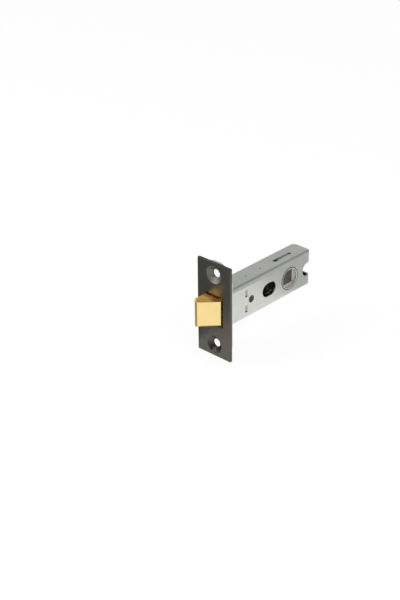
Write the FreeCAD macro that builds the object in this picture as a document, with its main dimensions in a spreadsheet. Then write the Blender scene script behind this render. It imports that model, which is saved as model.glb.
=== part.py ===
import FreeCAD, Part
import os
import Sketcher

# Tubular door latch with a 57 mm backset, for a 25 mm bored hole.
# The origin is the centre of the faceplate's front face. The bolt points to -Y, the case runs to +Y,
# the spindle passes through along X and the faceplate stands along Z.

doc = FreeCAD.newDocument("TubularDoorLatch")
sheet = doc.addObject("Spreadsheet::Sheet", "Sizes")

SIZES = (
    ("plate_width", 24.8, "faceplate across the door edge"),
    ("plate_height", 59.0, "faceplate along the door edge"),
    ("plate_thick", 1.5, "faceplate sheet"),
    ("plate_corner", 0.5, "corner radius of the faceplate"),
    ("plate_edge", 0.2, "rounding of the faceplate's front edge"),
    ("screw_end", 7.3, "wood screw hole's centre from the faceplate's end"),
    ("screw_hole", 4.9, "wood screw hole diameter"),
    ("dimple_rim", 11.3, "diameter of the pressed dimple at the front"),
    ("dimple_depth", 2.2, "depth of the dimple's cone"),
    ("dimple_wall", 0.7, "sheet left around the dimple"),
    ("aperture_side", 0.9, "gap beside the bolt in its opening"),
    ("aperture_end", 0.8, "gap above and below the bolt in its opening"),
    ("forend_side", 1.0, "inner plate narrower than the faceplate, each side"),
    ("forend_end", 0.2, "inner plate shorter than the faceplate, each end"),
    ("forend_thick", 1.6, "inner plate sheet"),
    ("forend_flat", 2.5, "flat left at the inner plate's round ends"),
    ("case_width", 13.6, "case outside, across the door"),
    ("case_height", 22.5, "case outside, up and down"),
    ("case_tail", 19.0, "end of the case behind the spindle's axis"),
    ("sheet_thick", 0.9, "case sheet"),
    ("fold_round", 2.3, "outside radius of the folds along the case"),
    ("end_round", 3.0, "outside radius of the upright bends at the case's end"),
    ("backset", 57.0, "faceplate front to spindle axis"),
    ("follower_hole", 14.3, "hole for the follower in each side"),
    ("follower_play", 0.07, "radial clearance of the follower in its holes"),
    ("rim_wall", 1.05, "rim left round the recess in each end of the follower"),
    ("recess_depth", 1.9, "recess in each end of the follower"),
    ("boss_proud", 0.1, "how far the follower's ends stand out of the case"),
    ("spindle_square", 8.1, "square hole for an 8 mm spindle"),
    ("cam_headroom", 0.26, "cam's round below the case's inside"),
    ("cam_thick", 5.0, "cam between the pull arms' prongs"),
    ("cam_play", 0.2, "clearance beside the cam in the pull arms"),
    ("cam_turn", 70.0, "follower's turn from rest to fully drawn"),
    ("oval_offset", 18.0, "bolt-through hole's centre in front of the spindle's axis"),
    ("oval_length", 11.4, "bolt-through hole along the case"),
    ("oval_height", 8.5, "bolt-through hole up and down"),
    ("notch_depth", 7.5, "open end notch, from the case's end"),
    ("notch_height", 8.6, "end notch up and down"),
    ("end_step", 0.15, "folded end walls back from the notch, each side"),
    ("pin_behind", 4.6, "cross pin behind the lances' cut edge"),
    ("pin_hole", 4.5, "hole for the cross pin in each side"),
    ("pin_play", 0.05, "radial clearance of the cross pin"),
    ("pin_sunk", 0.45, "how far the pin's ends lie below the sides"),
    ("lance_length", 1.8, "lance along the case"),
    ("lance_height", 4.2, "lance up and down"),
    ("lance_spread", 9.8, "between the centres of the two lances"),
    ("lance_depth", 1.15, "how far a lance's edge is pressed in"),
    ("lance_slit", 0.5, "width of the slit at a lance's cut edge"),
    ("lug_length", 5.0, "crimped lug along the case"),
    ("lug_reach", 2.2, "crimped lug over the cover"),
    ("lug_thick", 0.4, "crimped lug pressed flat"),
    ("lug_spread", 22.0, "between neighbouring lugs"),
    ("slit_front", 6.8, "slit over the follower, in front of the spindle's axis"),
    ("slit_rear", 8.0, "slit over the follower, behind the spindle's axis"),
    ("slit_width", 2.2, "slit across the case's top and bottom"),
    ("punch_round", 0.9, "diameter of the punch marks on the case's top and bottom"),
    ("punch_depth", 0.35, "depth of the punch marks"),
    ("punch_front", 30.8, "front punch mark, in front of the spindle's axis"),
    ("punch_rear", 18.2, "rear punch mark, in front of the spindle's axis"),
    ("tenon_width", 7.0, "case tenon staked into the inner plate"),
    ("bolt_reach", 10.1, "bolt's tip in front of the faceplate"),
    ("nose_length", 0.6, "nose behind the bolt's tip"),
    ("nose_in", 2.4, "tip inwards from the bolt's straight side"),
    ("bevel_end", 0.8, "where the bevel ends, in front of the faceplate"),
    ("bolt_chamfer", 1.5, "chamfer above and below the bevel"),
    ("bolt_soft", 0.3, "broken edges of the bolt"),
    ("shoulder_length", 3.2, "stop shoulder along the case"),
    ("shoulder_step", 1.4, "stop shoulder above and below the bolt's head"),
    ("bolt_throw", 11.5, "how far the follower draws the bolt back"),
    ("arm_thick", 1.2, "pull arm strip"),
    ("arm_width", 8.6, "pull arm across"),
    ("arm_neck", 6.0, "pull arm's neck in the bolt"),
    ("arm_head", 8.4, "pull arm's T head in the bolt"),
    ("arm_head_length", 1.1, "T head along the case"),
    ("head_wall", 0.8, "brass in front of the T head"),
    ("slot_play", 0.5, "cam to the end of the pull arm's slot, fully drawn"),
    ("tab_play", 0.32, "drive tab clear of the follower's boss"),
    ("drive_gap", 0.3, "cam tip to drive tab at rest"),
    ("spring_bore", 7.0, "bore in the bolt for its spring"),
    ("spring_play", 0.3, "clearance round the bolt spring"),
    ("spring_wire", 0.7, "bolt spring's wire"),
    ("spring_turns", 10.0, "bolt spring's turns"),
    ("bore_bottom", 1.0, "bottom of the spring bore, in front of the faceplate"),
    ("guide_rod", 3.0, "spring guide rod's diameter"),
    ("rod_nose", 0.75, "rounding of the guide rod's nose"),
    ("rod_play", 0.4, "rod's nose to the bottom of the bore, fully drawn"),
    ("eye_wall", 1.15, "eye of the guide rod, round the pin's hole"),
    ("eye_thick", 4.0, "eye along the cross pin"),
    ("slide_play", 0.05, "clearance beside sliding pieces"),
    ("seat_play", 0.1, "clearance of pieces that nest"),
    ("abutment_play", 0.2, "clearance between the abutment and the pull arms"),
)
for row, (alias, size, note) in enumerate(SIZES, 1):
    sheet.set(f"A{row}", note)
    sheet.set(f"B{row}", str(size))
    sheet.setAlias(f"B{row}", alias)
doc.recompute()

# Places worked out from the sizes
FOREND_FRONT = "Sizes.plate_thick"
CASE_FRONT = "(Sizes.plate_thick + Sizes.forend_thick)"
CASE_X = "(Sizes.case_width / 2)"
CASE_Z = "(Sizes.case_height / 2)"
INNER_X = "(Sizes.case_width / 2 - Sizes.sheet_thick)"
INNER_Z = "(Sizes.case_height / 2 - Sizes.sheet_thick)"
CASE_REAR = "(Sizes.backset + Sizes.case_tail)"
END_INNER = f"({CASE_REAR} - Sizes.sheet_thick)"
BEND_START = f"({CASE_REAR} - Sizes.end_round)"
BEND_INSIDE = "(Sizes.end_round - Sizes.sheet_thick)"
SCREW_PLACE = "(Sizes.plate_height / 2 - Sizes.screw_end)"
PIN_RADIUS = "(Sizes.pin_hole / 2 - Sizes.pin_play)"
BOSS_RADIUS = "(Sizes.follower_hole / 2 - Sizes.follower_play)"
CAM_RADIUS = f"({INNER_Z} - Sizes.cam_headroom)"
CAM_CHORD = f"({CAM_RADIUS} * sin(Sizes.cam_turn / 2 * 1deg))"
SHOULDER_FRONT = f"({CASE_FRONT} + Sizes.slide_play)"
SHOULDER_REAR = f"({SHOULDER_FRONT} + Sizes.shoulder_length)"
ARM_TOP = f"({INNER_Z} - Sizes.slide_play)"
ARM_UNDER = f"({ARM_TOP} - Sizes.arm_thick)"
TAB_FACE = f"(Sizes.backset - {CAM_CHORD} + Sizes.drive_gap)"
HEAD_FRONT = f"({SHOULDER_FRONT} + Sizes.head_wall)"
HEAD_REAR = f"({HEAD_FRONT} + Sizes.arm_head_length)"
BOLT_X = f"({INNER_X} - Sizes.slide_play)"
BOLT_Z = f"({ARM_TOP} - Sizes.shoulder_step)"
APERTURE_X = f"({BOLT_X} + Sizes.aperture_side)"
APERTURE_Z = f"({BOLT_Z} + Sizes.aperture_end)"
STOP_FRONT = f"({SHOULDER_REAR} + Sizes.bolt_throw + Sizes.slide_play)"
STOP_REAR = f"({STOP_FRONT} + Sizes.arm_thick)"
PIN_PLACE = f"({STOP_REAR} + Sizes.pin_behind)"
NOTCH_MIDDLE = f"({CASE_REAR} - Sizes.notch_depth + Sizes.notch_height / 2)"
PAST = "2"
X, Y, Z = FreeCAD.Vector(1, 0, 0), FreeCAD.Vector(0, 1, 0), FreeCAD.Vector(0, 0, 1)
NEAR = 1e-3


def plane_of(body, role):
    return [feature for feature in body.Origin.OriginFeatures if feature.Role == role][0]


def new_body(label):
    body = doc.addObject("PartDesign::Body", label)
    body.Label = label
    return body


def new_sketch(body, name, role, start="0", shift=("0", "0")):
    """A sketch on one of the body's own planes, moved along the plane's axis to `start`."""
    sketch = body.newObject("Sketcher::SketchObject", name)
    sketch.AttachmentSupport = [(plane_of(body, role), "")]
    sketch.MapMode = "FlatFace"
    sign = "-1" if role == "XZ_Plane" else "1"
    sketch.setExpression("AttachmentOffset.Base.x", f"({shift[0]}) * 1mm")
    sketch.setExpression("AttachmentOffset.Base.y", f"({shift[1]}) * 1mm")
    sketch.setExpression("AttachmentOffset.Base.z", f"{sign} * ({start}) * 1mm")
    return sketch


def value(sketch, expression):
    found = sketch.evalExpression(f"({expression}) * 1")
    return getattr(found, "Value", found)


def bind(sketch, kind, *where, size):
    number = sketch.addConstraint(Sketcher.Constraint(kind, *where, value(sketch, size)))
    sketch.setExpression(f"Constraints[{number}]", size)


def outline(sketch, corners, bends=()):
    """A closed outline through corners that are worked out from the sizes.

    It is straight but for its bends: the number of the corner where each starts, its radius and its middle.
    """
    count = len(corners)
    rough = [FreeCAD.Vector(value(sketch, across), value(sketch, up), 0) for across, up in corners]
    first = sketch.GeometryCount
    bent = {number: (radius, middle) for number, radius, middle in bends}
    ends = []
    for i in range(count):
        start, stop = rough[i], rough[(i + 1) % count]
        if i in bent:
            middle = FreeCAD.Vector(*(value(sketch, part) for part in bent[i][1]), 0)
            half_way = (start + stop) / 2 - middle
            side = middle + half_way.normalize() * value(sketch, bent[i][0])
            number = sketch.addGeometry(Part.Arc(start, side, stop), False)
            bind(sketch, "Radius", number, size=bent[i][0])
        else:
            number = sketch.addGeometry(Part.LineSegment(start, stop), False)
        forward = sketch.getPoint(number, 1).distanceToPoint(start) < NEAR
        ends.append((1, 2) if forward else (2, 1))
    for i in range(count):
        after = (i + 1) % count
        joined = (first + i, ends[i][1], first + after, ends[after][0])
        sketch.addConstraint(Sketcher.Constraint("Coincident", *joined))
    for i, (across, up) in enumerate(corners):
        bind(sketch, "DistanceX", -1, 1, first + i, ends[i][0], size=across)
        bind(sketch, "DistanceY", -1, 1, first + i, ends[i][0], size=up)


def rectangle(sketch, left, right, low, high):
    outline(sketch, [(left, low), (right, low), (right, high), (left, high)])


def disc(sketch, across, up, radius):
    number = sketch.addGeometry(Part.Circle(FreeCAD.Vector(1, 1, 0), FreeCAD.Vector(0, 0, 1), 1), False)
    bind(sketch, "DistanceX", -1, 1, number, 3, size=across)
    bind(sketch, "DistanceY", -1, 1, number, 3, size=up)
    bind(sketch, "Radius", number, size=radius)


def grow(body, name, sketch, length):
    """Pads the sketch towards the positive side of its plane's axis."""
    pad = body.newObject("PartDesign::Pad", name)
    pad.Profile = sketch
    pad.Reversed = sketch.AttachmentSupport[0][0].Role == "XZ_Plane"
    pad.setExpression("Length", f"({length}) * 1mm")
    doc.recompute()
    return pad


def sink(body, name, sketch, length):
    """Pockets the sketch towards the positive side of its plane's axis."""
    before = body.Shape.Volume
    pocket = body.newObject("PartDesign::Pocket", name)
    pocket.Profile = sketch
    pocket.Reversed = sketch.AttachmentSupport[0][0].Role != "XZ_Plane"
    pocket.setExpression("Length", f"({length}) * 1mm")
    doc.recompute()
    if body.Shape.Volume >= before:
        raise RuntimeError(f"{body.Label}: {name} cuts nothing")
    return pocket


def turn(body, kind, name, sketch):
    """Revolves the sketch about its own horizontal axis."""
    feature = body.newObject(kind, name)
    feature.Profile = sketch
    feature.ReferenceAxis = (sketch, ["H_Axis"])
    feature.Angle = 360.0
    doc.recompute()
    return feature


def block(body, name, role, start, end, *sides):
    sketch = new_sketch(body, f"{name}Outline", role, start)
    rectangle(sketch, *sides)
    return grow(body, name, sketch, f"({end}) - ({start})")


def slot(body, name, role, start, end, *sides):
    sketch = new_sketch(body, f"{name}Outline", role, start)
    rectangle(sketch, *sides)
    return sink(body, name, sketch, f"({end}) - ({start})")


def round_hole(body, name, start, end, along, up, radius):
    """A round hole across the case, from X = start to X = end."""
    sketch = new_sketch(body, f"{name}Outline", "YZ_Plane", start)
    disc(sketch, along, up, radius)
    return sink(body, name, sketch, f"({end}) - ({start})")


def soften(body, name, size, test, kind="PartDesign::Fillet", what="Radius"):
    """Rounds or chamfers every edge that passes the test."""
    base = body.Tip
    edges = [f"Edge{i}" for i, edge in enumerate(body.Shape.Edges, 1) if test(edge)]
    if not edges:
        raise RuntimeError(f"{body.Label}: {name} finds no edge")
    feature = body.newObject(kind, name)
    feature.Base = (base, edges)
    feature.setExpression(what, f"({size}) * 1mm")
    doc.recompute()
    return feature


def runs_along(edge, axis):
    """True for a straight edge that runs along the axis."""
    if edge.Curve.TypeId != "Part::GeomLine":
        return False
    return abs(abs(edge.Curve.Direction.dot(axis)) - 1) < 1e-6


def centre(edge):
    return edge.BoundBox.Center


def screw_recesses(body, outer_cone, recess):
    """Adds and cuts the same turned profiles at both wood screws."""
    for side, place in (("Upper", SCREW_PLACE), ("Lower", f"-{SCREW_PLACE}")):
        if outer_cone:
            cone = new_sketch(body, f"{side}DishOutline", "YZ_Plane", shift=("0", place))
            outline(cone, outer_cone)
            turn(body, "PartDesign::Revolution", f"{side}Dish", cone)
        hollow = new_sketch(body, f"{side}RecessOutline", "YZ_Plane", shift=("0", place))
        outline(hollow, recess)
        turn(body, "PartDesign::Groove", f"{side}Recess", hollow)


def make_faceplate():
    """Blackened sheet with a pressed dimple round each screw and a clean opening for the bolt."""
    body = new_body("faceplate")
    half_width, half_height = "Sizes.plate_width / 2", "Sizes.plate_height / 2"
    block(body, "Sheet", "XZ_Plane", "0", "Sizes.plate_thick",
          f"-{half_width}", half_width, f"-{half_height}", half_height)
    soften(body, "Corners", "Sizes.plate_corner", lambda edge: runs_along(edge, Y))
    soften(body, "FrontEdge", "Sizes.plate_edge", lambda edge: abs(edge.BoundBox.YMax) < NEAR)
    rim, hole, depth = "Sizes.dimple_rim / 2", "Sizes.screw_hole / 2", "Sizes.dimple_depth"
    back = "(Sizes.dimple_depth + Sizes.dimple_wall)"
    middle = "Sizes.plate_thick / 2"
    dish = [(middle, hole), (middle, f"{rim} + Sizes.dimple_wall / 2"),
            (depth, f"{hole} + Sizes.dimple_wall"), (back, f"{hole} + Sizes.dimple_wall"), (back, hole)]
    recess = [(f"-{PAST}", "0"), (f"-{PAST}", rim), ("0", rim), (depth, hole),
              (f"{back} + {PAST}", hole), (f"{back} + {PAST}", "0")]
    screw_recesses(body, dish, recess)
    soften(body, "DimpleRims", "Sizes.dimple_wall",
           lambda edge: edge.Curve.TypeId == "Part::GeomCircle" and edge.isClosed()
           and max(abs(edge.BoundBox.YMax), abs(edge.BoundBox.YMin)) < NEAR)
    slot(body, "Aperture", "XZ_Plane", f"-{PAST}", f"Sizes.plate_thick + {PAST}",
         f"-{APERTURE_X}", APERTURE_X, f"-{APERTURE_Z}", APERTURE_Z)


def make_forend():
    """Round-ended inner plate that carries the case, countersunk for the faceplate's dimples."""
    body = new_body("forend_plate")
    half_width = "(Sizes.plate_width / 2 - Sizes.forend_side)"
    half_height = "(Sizes.plate_height / 2 - Sizes.forend_end)"
    block(body, "Sheet", "XZ_Plane", FOREND_FRONT, CASE_FRONT,
          f"-{half_width}", half_width, f"-{half_height}", half_height)
    soften(body, "Ends", f"{half_width} - Sizes.forend_flat / 2", lambda edge: runs_along(edge, Y))
    slot(body, "Aperture", "XZ_Plane", "0", f"{CASE_FRONT} + {PAST}",
         f"-{APERTURE_X}", APERTURE_X, f"-{APERTURE_Z}", APERTURE_Z)
    wide = "Sizes.dimple_rim / 2 + Sizes.dimple_wall / 2 + Sizes.seat_play"
    narrow = "Sizes.screw_hole / 2 + Sizes.dimple_wall + Sizes.seat_play"
    middle = "Sizes.plate_thick / 2"
    recess = [(middle, "0"), (middle, wide), ("Sizes.dimple_depth", narrow),
              (f"{CASE_FRONT} + {PAST}", narrow), (f"{CASE_FRONT} + {PAST}", "0")]
    screw_recesses(body, None, recess)
    for side, sign in (("Upper", ""), ("Lower", "-")):
        slot(body, f"{side}TenonSlot", "XZ_Plane", "0", f"{CASE_FRONT} + {PAST}",
             "-Sizes.tenon_width / 2 - Sizes.slide_play", "Sizes.tenon_width / 2 + Sizes.slide_play",
             f"{sign}({INNER_Z} - Sizes.slide_play)", f"{sign}({CASE_Z} + Sizes.slide_play)")


def side_openings(body, start, end):
    """The holes that both sides of the case share, cut from X = start to X = end."""
    round_hole(body, "FollowerHole", start, end, "Sizes.backset", "0", "Sizes.follower_hole / 2")
    round_hole(body, "PinHole", start, end, PIN_PLACE, "0", "Sizes.pin_hole / 2")
    radius = "Sizes.oval_height / 2"
    oval = "Sizes.backset - Sizes.oval_offset"
    front = f"{oval} - Sizes.oval_length / 2 + Sizes.oval_height / 2"
    rear = f"{oval} + Sizes.oval_length / 2 - Sizes.oval_height / 2"
    round_hole(body, "OvalFront", start, end, front, "0", radius)
    round_hole(body, "OvalRear", start, end, rear, "0", radius)
    slot(body, "OvalMiddle", "YZ_Plane", start, end, front, rear, f"-{radius}", radius)
    round_hole(body, "NotchBottom", start, end, NOTCH_MIDDLE, "0", "Sizes.notch_height / 2")


def lances(body, sign):
    """Two tabs sheared on three sides and pressed in, as a stop for the spring abutment."""
    cut, root = STOP_REAR, f"({STOP_REAR} + Sizes.lance_length)"
    outside, inside = f"{sign} * {CASE_X}", f"{sign} * {INNER_X}"
    for side, place in (("Upper", "Sizes.lance_spread / 2"), ("Lower", "-Sizes.lance_spread / 2")):
        low, high = f"({place} - Sizes.lance_height / 2)", f"({place} + Sizes.lance_height / 2)"
        start, end = (inside, outside) if sign == "1" else (outside, inside)
        slot(body, f"{side}Lance", "YZ_Plane", f"{start} - Sizes.slide_play", f"{end} + Sizes.slide_play",
             f"{cut} - Sizes.lance_slit", root, low, high)
        tab = new_sketch(body, f"{side}TabOutline", "XY_Plane", f"{low} + Sizes.lance_slit / 2")
        outline(tab, [(outside, root), (inside, root),
                      (f"{inside} - {sign} * Sizes.lance_depth", cut),
                      (f"{outside} - {sign} * Sizes.lance_depth", cut)])
        grow(body, f"{side}Tab", tab, "Sizes.lance_height - Sizes.lance_slit")


def trim_corner(body, name, side):
    """Takes the corner off outside an upright bend at the case's end; side is 1 near and -1 far."""
    sketch = new_sketch(body, f"{name}Outline", "XY_Plane", f"-{CASE_Z} - {PAST}")
    across, inwards = f"{side} * {CASE_X}", f"{side} * ({CASE_X} - Sizes.end_round)"
    out, back = f"{side} * ({CASE_X} + {PAST})", f"{CASE_REAR} + {PAST}"
    outline(sketch, [(across, BEND_START), (inwards, CASE_REAR), (inwards, back), (out, back),
                     (out, BEND_START)], [(0, "Sizes.end_round", (inwards, BEND_START))])
    sink(body, name, sketch, f"2 * ({CASE_Z} + {PAST})")


def lug_places():
    """Where each crimped lug is, along the case."""
    for step, number in (("-1", 1), ("0", 2), ("1", 3)):
        middle = f"({CASE_FRONT} + {CASE_REAR}) / 2 + {step} * Sizes.lug_spread"
        yield number, f"{middle} - Sizes.lug_length / 2", f"{middle} + Sizes.lug_length / 2"


def make_case_shell():
    """One folded sheet: near side, top, bottom and the bent end, with lugs pressed flush into the cover."""
    body = new_body("case_shell")
    block(body, "Outside", "XZ_Plane", CASE_FRONT, CASE_REAR,
          f"-{CASE_X}", CASE_X, f"-{CASE_Z}", CASE_Z)
    soften(body, "LongFolds", "Sizes.fold_round", lambda edge: runs_along(edge, Y) and centre(edge).x > 0)
    trim_corner(body, "NearBend", 1)
    trim_corner(body, "FarBend", -1)
    hollow = new_sketch(body, "HollowOutline", "XY_Plane", f"-{INNER_Z}")
    bend_x, front, out = f"{INNER_X} - {BEND_INSIDE}", f"{CASE_FRONT} - {PAST}", f"-{CASE_X} - {PAST}"
    outline(hollow, [(INNER_X, front), (INNER_X, BEND_START), (bend_x, END_INNER),
                     (f"-({bend_x})", END_INNER), (f"-{INNER_X}", BEND_START), (out, BEND_START), (out, front)],
            [(1, BEND_INSIDE, (bend_x, BEND_START)), (3, BEND_INSIDE, (f"-({bend_x})", BEND_START))])
    sink(body, "Hollow", hollow, f"2 * {INNER_Z}")
    wall_start, wall_end = f"{INNER_X} - {PAST}", f"{CASE_X} + {PAST}"
    gap = "(Sizes.notch_height / 2 + Sizes.end_step)"
    slot(body, "EndGap", "XZ_Plane", f"{BEND_START} - {PAST}", f"{CASE_REAR} + {PAST}",
         f"-{CASE_X} - {PAST}", INNER_X, f"-{gap}", gap)
    side_openings(body, wall_start, wall_end)
    slot(body, "Notch", "YZ_Plane", f"{bend_x} - {PAST}", wall_end, NOTCH_MIDDLE, f"{CASE_REAR} + {PAST}",
         "-Sizes.notch_height / 2", "Sizes.notch_height / 2")
    lances(body, "1")
    for side, start in (("Upper", f"{INNER_Z} - {PAST}"), ("Lower", f"-{CASE_Z} - {PAST}")):
        slot(body, f"{side}Slit", "XY_Plane", start, f"{start} + Sizes.sheet_thick + 2 * {PAST}",
             "-Sizes.slit_width / 2", "Sizes.slit_width / 2",
             "Sizes.backset - Sizes.slit_front", "Sizes.backset + Sizes.slit_rear")
    for side, start in (("Upper", f"{CASE_Z} - Sizes.punch_depth"), ("Lower", f"-{CASE_Z} - {PAST}")):
        for end, ahead in (("Front", "Sizes.punch_front"), ("Rear", "Sizes.punch_rear")):
            mark = new_sketch(body, f"{side}{end}PunchOutline", "XY_Plane", start)
            disc(mark, "0", f"Sizes.backset - {ahead}", "Sizes.punch_round / 2")
            sink(body, f"{side}{end}Punch", mark, f"Sizes.punch_depth + {PAST}")
    for side, sign in (("Upper", ""), ("Lower", "-")):
        block(body, f"{side}Tenon", "XZ_Plane", FOREND_FRONT, CASE_FRONT,
              "-Sizes.tenon_width / 2", "Sizes.tenon_width / 2", f"{sign}{INNER_Z}", f"{sign}{CASE_Z}")
        for number, start, end in lug_places():
            block(body, f"{side}Lug{number}", "YZ_Plane", f"-{CASE_X}", f"-{CASE_X} + Sizes.lug_thick",
                  start, end, f"{sign}({CASE_Z} - Sizes.lug_reach)", f"{sign}{CASE_Z}")


def make_case_cover():
    """Flat far side, held between the shell's top and bottom by the lugs pressed into it."""
    body = new_body("case_cover")
    half = f"({INNER_Z} - Sizes.slide_play)"
    block(body, "Sheet", "YZ_Plane", f"-{CASE_X}", f"-{INNER_X}",
          CASE_FRONT, f"{BEND_START} - Sizes.slide_play", f"-{half}", half)
    for side, sign in (("Upper", ""), ("Lower", "-")):
        for number, start, end in lug_places():
            slot(body, f"{side}LugSeat{number}", "YZ_Plane", f"-{CASE_X} - {PAST}",
                 f"-{CASE_X} + Sizes.lug_thick + Sizes.slide_play",
                 f"{start} - Sizes.seat_play", f"{end} + Sizes.seat_play",
                 f"{sign}({CASE_Z} - Sizes.lug_reach - Sizes.seat_play)", f"{sign}({INNER_Z} + {PAST})")
    side_openings(body, f"-{CASE_X} - {PAST}", f"-{INNER_X} + {PAST}")
    lances(body, "-1")


def make_bolt():
    """Brass bolt with one long bevel, a stop shoulder, a spring bore and sockets for the pull arms."""
    body = new_body("latch_bolt")
    head = new_sketch(body, "HeadOutline", "XY_Plane", f"-{BOLT_Z}")
    outline(head, [(f"-{BOLT_X}", SHOULDER_FRONT), (f"-{BOLT_X}", "Sizes.nose_length - Sizes.bolt_reach"),
                   (f"-{BOLT_X} + Sizes.nose_in", "-Sizes.bolt_reach"),
                   (BOLT_X, "-Sizes.bevel_end"), (BOLT_X, SHOULDER_FRONT)])
    grow(body, "Head", head, f"2 * {BOLT_Z}")
    bevel = max(body.Shape.Faces, key=lambda face: face.normalAt(0, 0).dot(X - Y)).Edges
    soften(body, "BevelChamfers", "Sizes.bolt_chamfer",
           lambda edge: not runs_along(edge, Z) and any(edge.isSame(side) for side in bevel),
           "PartDesign::Chamfer", "Size")
    soften(body, "NoseEdges", "Sizes.bolt_soft",
           lambda edge: runs_along(edge, Z) and centre(edge).y < 0)
    block(body, "Shoulder", "XZ_Plane", SHOULDER_FRONT, SHOULDER_REAR,
          f"-{BOLT_X}", BOLT_X, f"-{ARM_TOP}", ARM_TOP)
    for side, sign in (("Upper", ""), ("Lower", "-")):
        under, over = f"{sign}({ARM_UNDER} - Sizes.slide_play)", f"{sign}({ARM_TOP} + {PAST})"
        slot(body, f"{side}HeadSocket", "XZ_Plane",
             f"{HEAD_FRONT} - Sizes.slide_play", f"{HEAD_REAR} + Sizes.slide_play",
             "-Sizes.arm_head / 2 - Sizes.slide_play", "Sizes.arm_head / 2 + Sizes.slide_play", under, over)
        slot(body, f"{side}NeckSocket", "XZ_Plane", HEAD_REAR, f"{SHOULDER_REAR} + {PAST}",
             "-Sizes.arm_neck / 2 - Sizes.slide_play", "Sizes.arm_neck / 2 + Sizes.slide_play", under, over)
    bore = new_sketch(body, "BoreOutline", "XZ_Plane", "-Sizes.bore_bottom")
    disc(bore, "0", "0", "Sizes.spring_bore / 2")
    sink(body, "SpringBore", bore, f"{SHOULDER_REAR} + Sizes.bore_bottom + {PAST}")


def make_pull_arm(label, sign):
    """Steel strip from the bolt's shoulder to the cam, forked round the cam and bent in as a drive tab."""
    body = new_body(label)
    under, over = f"{sign}{ARM_UNDER}", f"{sign}{ARM_TOP}"
    tab_rear = f"({TAB_FACE} + Sizes.arm_thick)"
    neck_end = f"({SHOULDER_REAR} + Sizes.seat_play)"
    block(body, "Head", "XZ_Plane", HEAD_FRONT, HEAD_REAR,
          "-Sizes.arm_head / 2", "Sizes.arm_head / 2", under, over)
    block(body, "Neck", "XZ_Plane", HEAD_REAR, neck_end,
          "-Sizes.arm_neck / 2", "Sizes.arm_neck / 2", under, over)
    block(body, "Strip", "XZ_Plane", neck_end, tab_rear,
          "-Sizes.arm_width / 2", "Sizes.arm_width / 2", under, over)
    block(body, "DriveTab", "XZ_Plane", TAB_FACE, tab_rear,
          "-Sizes.arm_width / 2", "Sizes.arm_width / 2", f"{sign}({BOSS_RADIUS} + Sizes.tab_play)", over)
    swept = f"(sqrt({CAM_RADIUS} ^ 2 - {ARM_UNDER} ^ 2) + Sizes.bolt_throw + Sizes.slot_play)"
    width = "Sizes.cam_thick / 2 + Sizes.cam_play"
    slot(body, "CamSlot", "XZ_Plane", f"Sizes.backset - {swept}", TAB_FACE,
         f"-({width})", width, f"{sign}({ARM_UNDER} - {PAST})", f"{sign}({ARM_TOP} + {PAST})")


def make_follower():
    """Die-cast hub: a cam with a flat back between two bosses, and a square hole for the spindle."""
    body = new_body("follower")
    web = new_sketch(body, "CamOutline", "YZ_Plane", "-Sizes.cam_thick / 2")
    disc(web, "Sizes.backset", "0", CAM_RADIUS)
    grow(body, "Cam", web, "Sizes.cam_thick")
    slot(body, "CamBack", "YZ_Plane", f"-Sizes.cam_thick / 2 - {PAST}", f"Sizes.cam_thick / 2 + {PAST}",
         f"Sizes.backset - {CAM_CHORD}", f"Sizes.backset + {CAM_RADIUS} + {PAST}",
         f"-{CAM_RADIUS} - {PAST}", f"{CAM_RADIUS} + {PAST}")
    boss_end = f"({CASE_X} + Sizes.boss_proud)"
    boss = new_sketch(body, "BossOutline", "YZ_Plane", f"-{boss_end}")
    disc(boss, "Sizes.backset", "0", BOSS_RADIUS)
    grow(body, "Boss", boss, f"2 * {boss_end}")
    for side, start, end in (("Near", f"{boss_end} - Sizes.recess_depth", f"{boss_end} + {PAST}"),
                             ("Far", f"-{boss_end} - {PAST}", f"-{boss_end} + Sizes.recess_depth")):
        round_hole(body, f"{side}Recess", start, end, "Sizes.backset", "0", f"{BOSS_RADIUS} - Sizes.rim_wall")
    half = "Sizes.spindle_square / 2"
    slot(body, "SpindleSquare", "YZ_Plane", f"-{CASE_X} - {PAST}", f"{CASE_X} + {PAST}",
         f"Sizes.backset - {half}", f"Sizes.backset + {half}", f"-{half}", half)


def make_spring_abutment():
    """Plate across the case that the bolt spring pushes against, stopped by the lances."""
    body = new_body("spring_abutment")
    half, tall = f"({INNER_X} - Sizes.slide_play)", f"({ARM_UNDER} - Sizes.abutment_play)"
    block(body, "Sheet", "XZ_Plane", STOP_FRONT, STOP_REAR, f"-{half}", half, f"-{tall}", tall)
    hole = new_sketch(body, "RodHoleOutline", "XZ_Plane", f"{STOP_FRONT} - {PAST}")
    disc(hole, "0", "0", "Sizes.guide_rod / 2 + Sizes.slide_play")
    sink(body, "RodHole", hole, f"Sizes.arm_thick + 2 * {PAST}")


def make_guide_rod():
    """Rod inside the bolt spring, with an eye that the cross pin goes through."""
    body = new_body("spring_guide_rod")
    nose = "(-Sizes.bore_bottom + Sizes.bolt_throw + Sizes.rod_play)"
    rod = new_sketch(body, "RodOutline", "XZ_Plane", nose)
    disc(rod, "0", "0", "Sizes.guide_rod / 2")
    grow(body, "Rod", rod, f"{PIN_PLACE} - {nose}")
    soften(body, "RodNose", "Sizes.rod_nose",
           lambda edge: abs(edge.BoundBox.YMax - body.Shape.BoundBox.YMin) < NEAR)
    eye = new_sketch(body, "EyeOutline", "YZ_Plane", "-Sizes.eye_thick / 2")
    disc(eye, PIN_PLACE, "0", "Sizes.pin_hole / 2 + Sizes.eye_wall")
    grow(body, "Eye", eye, "Sizes.eye_thick")
    round_hole(body, "EyeHole", f"-Sizes.eye_thick / 2 - {PAST}", f"Sizes.eye_thick / 2 + {PAST}",
               PIN_PLACE, "0", "Sizes.pin_hole / 2")


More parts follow.
